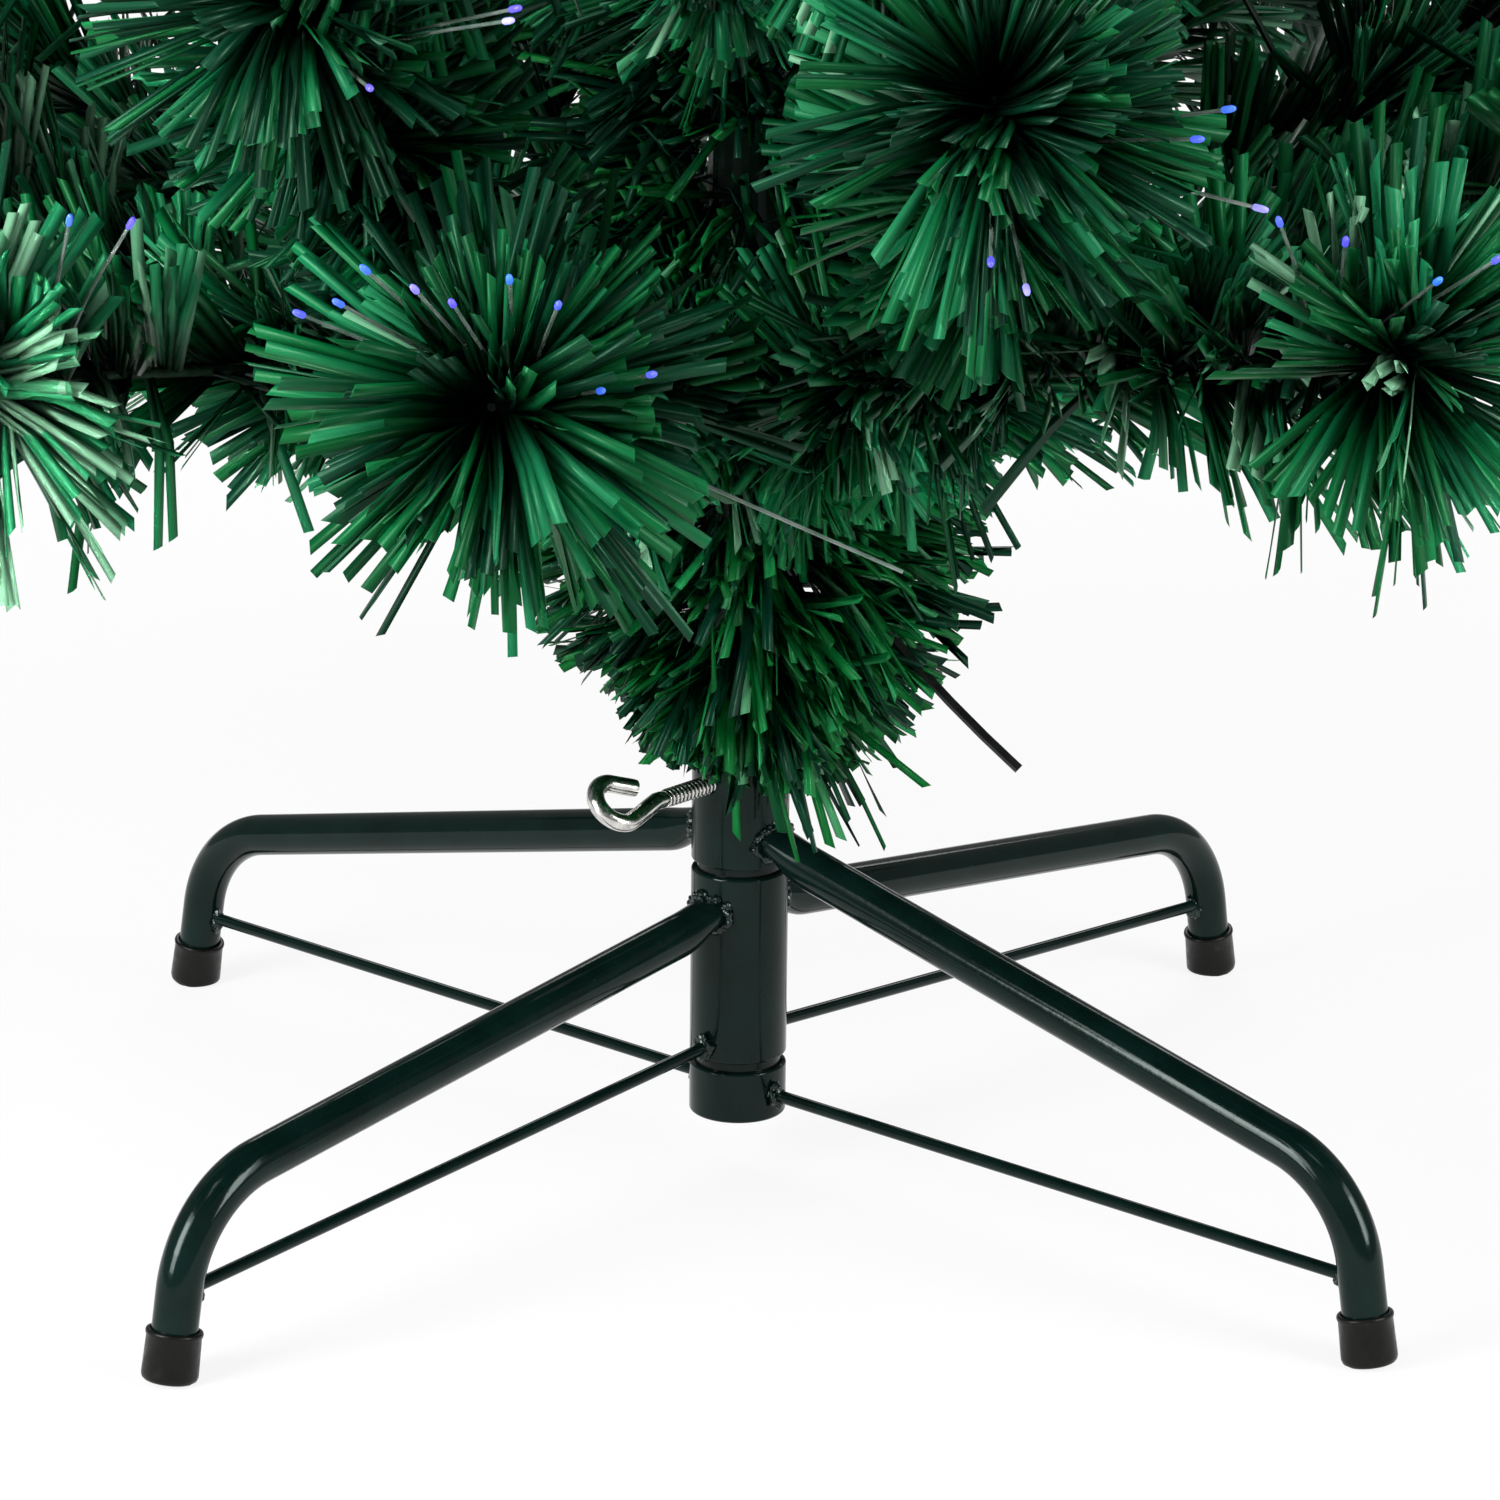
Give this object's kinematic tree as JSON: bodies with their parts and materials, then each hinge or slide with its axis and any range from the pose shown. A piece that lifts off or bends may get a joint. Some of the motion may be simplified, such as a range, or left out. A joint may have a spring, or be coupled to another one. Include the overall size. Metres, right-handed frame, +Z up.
{
  "type": "fiber optic christmas tree",
  "caption": "Artificial fibre optic tree: folding tube stand with bent legs, two-section pole, tinsel-wrapped trunk and tiers of forked needle branches tipped with fibres.",
  "frame": {"origin": "on the floor under the pole's axis", "axes": "+Z up along the pole; -Y towards the front; the legs lie midway between X and Y"},
  "size_m": [0.8692, 0.8856, 1.5],
  "materials": {
    "stand_paint": "gloss",
    "sleeve_paint": "gloss",
    "pole_paint": "satin",
    "rubber": "satin",
    "nickel": "polished",
    "black_nylon": "gloss",
    "needles": "gloss",
    "tinsel": "gloss"
  },
  "bodies": {
    "frame_a": {"brace_back_left": "stand_paint", "brace_front_right": "stand_paint", "foot_cap_back_left": "rubber", "foot_cap_front_right": "rubber", "inner_sleeve": "sleeve_paint", "leg_back_left": "stand_paint", "leg_front_right": "stand_paint", "lower_collar": "stand_paint", "upper_collar": "stand_paint"},
    "frame_b": {"brace_back_right": "stand_paint", "brace_front_left": "stand_paint", "foot_cap_back_right": "rubber", "foot_cap_front_left": "rubber", "leg_back_right": "stand_paint", "leg_front_left": "stand_paint", "middle_tube": "stand_paint"},
    "eye_bolt": {"eye_bolt": "nickel"},
    "tree_lower": {"branch_1_1": "needles", "branch_1_2": "needles", "branch_1_3": "needles", "branch_1_4": "needles", "branch_1_5": "needles", "branch_1_6": "needles", "branch_1_7": "needles", "branch_1_8": "needles", "branch_2_1": "needles", "branch_2_2": "needles", "branch_2_3": "needles", "branch_2_4": "needles", "branch_2_5": "needles", "branch_2_6": "needles", "branch_3_1": "needles", "branch_3_2": "needles", "branch_3_3": "needles", "branch_3_4": "needles", "branch_3_5": "needles", "branch_3_6": "needles", "branch_4_1": "needles", "branch_4_2": "needles", "branch_4_3": "needles", "branch_4_4": "needles", "branch_4_5": "needles", "cable_tie": "black_nylon", "pole_lower": "pole_paint", "trunk_tinsel": "tinsel"},
    "tree_upper": {"branch_5_1": "needles", "branch_5_2": "needles", "branch_5_3": "needles", "branch_5_4": "needles", "branch_6_1": "needles", "branch_6_2": "needles", "branch_6_3": "needles", "branch_6_4": "needles", "branch_7_1": "needles", "branch_7_2": "needles", "branch_7_3": "needles", "pole_upper": "pole_paint", "tree_top": "needles"}
  },
  "joints": [
    {"name": "stand_fold", "type": "hinge", "parent": "frame_a", "child": "frame_b", "pos_m": [0, 0, 0.07], "axis": [0, 0, 1], "range_deg": [-84, 84]},
    {"name": "eye_bolt_out", "type": "slide", "parent": "frame_a", "child": "eye_bolt", "axis": [-0.7071, -0.7071, 0], "range_m": [0, 0.012]},
    {"name": "tree_lift", "type": "slide", "parent": "frame_a", "child": "tree_lower", "axis": [0, 0, 1], "range_m": [0, 0.15]},
    {"name": "upper_lift", "type": "slide", "parent": "tree_lower", "child": "tree_upper", "axis": [0, 0, 1], "range_m": [0, 0.1]}
  ]
}
